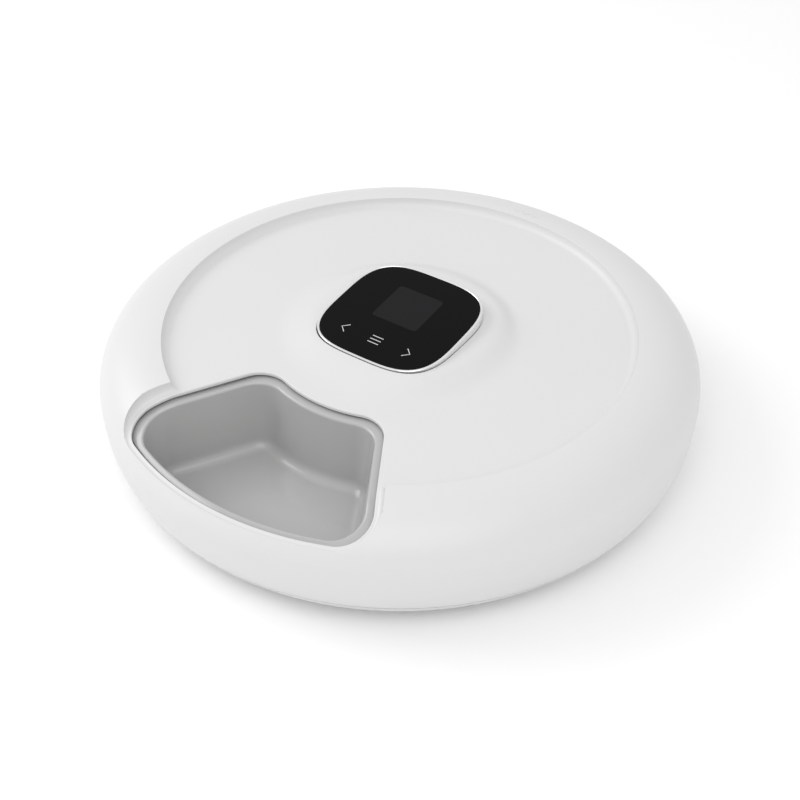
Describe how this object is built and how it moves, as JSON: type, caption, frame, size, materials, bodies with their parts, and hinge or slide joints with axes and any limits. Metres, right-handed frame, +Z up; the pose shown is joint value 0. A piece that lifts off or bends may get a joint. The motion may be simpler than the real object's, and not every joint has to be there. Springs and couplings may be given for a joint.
{
  "type": "automatic pet feeder",
  "caption": "Round, low automatic pet feeder: a motor turns a ring of bowls under a lift-off lid with one serving opening and a central touch panel.",
  "frame": {"origin": "on the floor, under the middle of the feeder, on the tray's axis", "axes": "+Z up along the tray's axis, -Y to the front, through the serving opening and the lower edge of the panel"},
  "size_m": [0.32, 0.32, 0.0728],
  "materials": {
    "white_shell": "satin white, finely textured",
    "white_base": "fine-textured white",
    "grey_tray": "smooth mid grey, food safe",
    "frame_bright": "bright white trim",
    "panel_black": "black, back-printed, glossy",
    "display_dark": "dark display cell",
    "circuit_board": "green solder mask",
    "black_plastic": "black moulded",
    "steel": "zinc plated",
    "spring_brass": "plated spring wire",
    "ivory_plastic": "slippery ivory plastic",
    "motor_case": "drawn steel can",
    "rubber_grey": "soft grey rubber",
    "cell_wrap": "shrink sleeve",
    "lead_black": "black insulation",
    "lead_red": "red insulation",
    "ribbon_ivory": "flat ribbon insulation"
  },
  "bodies": {
    "base": {"base_shell": "white_base", "bottom_cover": "white_base", "hub_cover": "white_base", "panel_frame": "frame_bright", "control_panel": "panel_black", "display_module": "display_dark", "control_board": "circuit_board", "touch_springs": "spring_brass", "buzzer": "black_plastic", "board_screws": "steel", "main_board": "circuit_board", "main_board_screws": "steel", "display_ribbon": "ribbon_ivory", "power_socket": "steel", "power_board": "circuit_board", "power_lead": "lead_black", "lead_cover": "white_base", "drive_motor": "motor_case", "motor_bracket": "steel", "motor_screws": "steel", "bracket_screws": "steel", "motor_lead": "lead_red", "battery_cells": "cell_wrap", "battery_contacts": "steel", "battery_lead": "lead_red", "position_sensor": "circuit_board", "sensor_lead": "lead_black", "bearing_ring": "ivory_plastic", "roller_axles": "steel", "rubber_feet": "rubber_grey", "base_screws": "steel"},
    "tray": {"food_bowl_1": "grey_tray", "food_bowl_2": "grey_tray", "food_bowl_3": "grey_tray", "food_bowl_4": "grey_tray", "food_bowl_5": "grey_tray", "food_bowl_6": "grey_tray", "turntable": "white_base", "ring_gear": "ivory_plastic", "ring_gear_screws": "steel", "index_magnets": "steel"},
    "lid": {"lid": "white_shell"},
    "pinion": {"drive_pinion": "ivory_plastic", "motor_shaft": "steel"},
    "roller_right": {"roller_right": "ivory_plastic"},
    "roller_left": {"roller_left": "ivory_plastic"},
    "roller_front": {"roller_front": "ivory_plastic"},
    "battery_door": {"battery_door": "white_base"}
  },
  "joints": [
    {"name": "tray_spin", "type": "hinge", "parent": "base", "child": "tray", "pos_m": [0, 0, 0.0155], "axis": [0, 0, 1], "continuous": true},
    {"name": "pinion_spin", "type": "hinge", "parent": "base", "child": "pinion", "pos_m": [0, -0.054, 0.012], "axis": [0, 0, 1], "continuous": true},
    {"name": "roller_right_spin", "type": "hinge", "parent": "base", "child": "roller_right", "pos_m": [0.0866, 0.05, 0.0109], "axis": [0.866, 0.5, 0], "continuous": true},
    {"name": "roller_left_spin", "type": "hinge", "parent": "base", "child": "roller_left", "pos_m": [-0.0866, 0.05, 0.0109], "axis": [-0.866, 0.5, 0], "continuous": true},
    {"name": "roller_front_spin", "type": "hinge", "parent": "base", "child": "roller_front", "pos_m": [0, -0.1, 0.0109], "axis": [0, -1, 0], "continuous": true},
    {"name": "lid_lift", "type": "slide", "parent": "base", "child": "lid", "axis": [0, 0, 1], "range_m": [0, 0.12]},
    {"name": "battery_door_hinge", "type": "hinge", "parent": "base", "child": "battery_door", "pos_m": [0, -0.0116, 0.004], "axis": [-1, 0, 0], "range_deg": [0, 95]}
  ],
  "couplings": [
    {"joint": "pinion_spin", "follows": "tray_spin", "ratio": 4},
    {"joint": "roller_right_spin", "follows": "tray_spin", "ratio": -22.222},
    {"joint": "roller_left_spin", "follows": "tray_spin", "ratio": -22.222},
    {"joint": "roller_front_spin", "follows": "tray_spin", "ratio": -22.222}
  ]
}
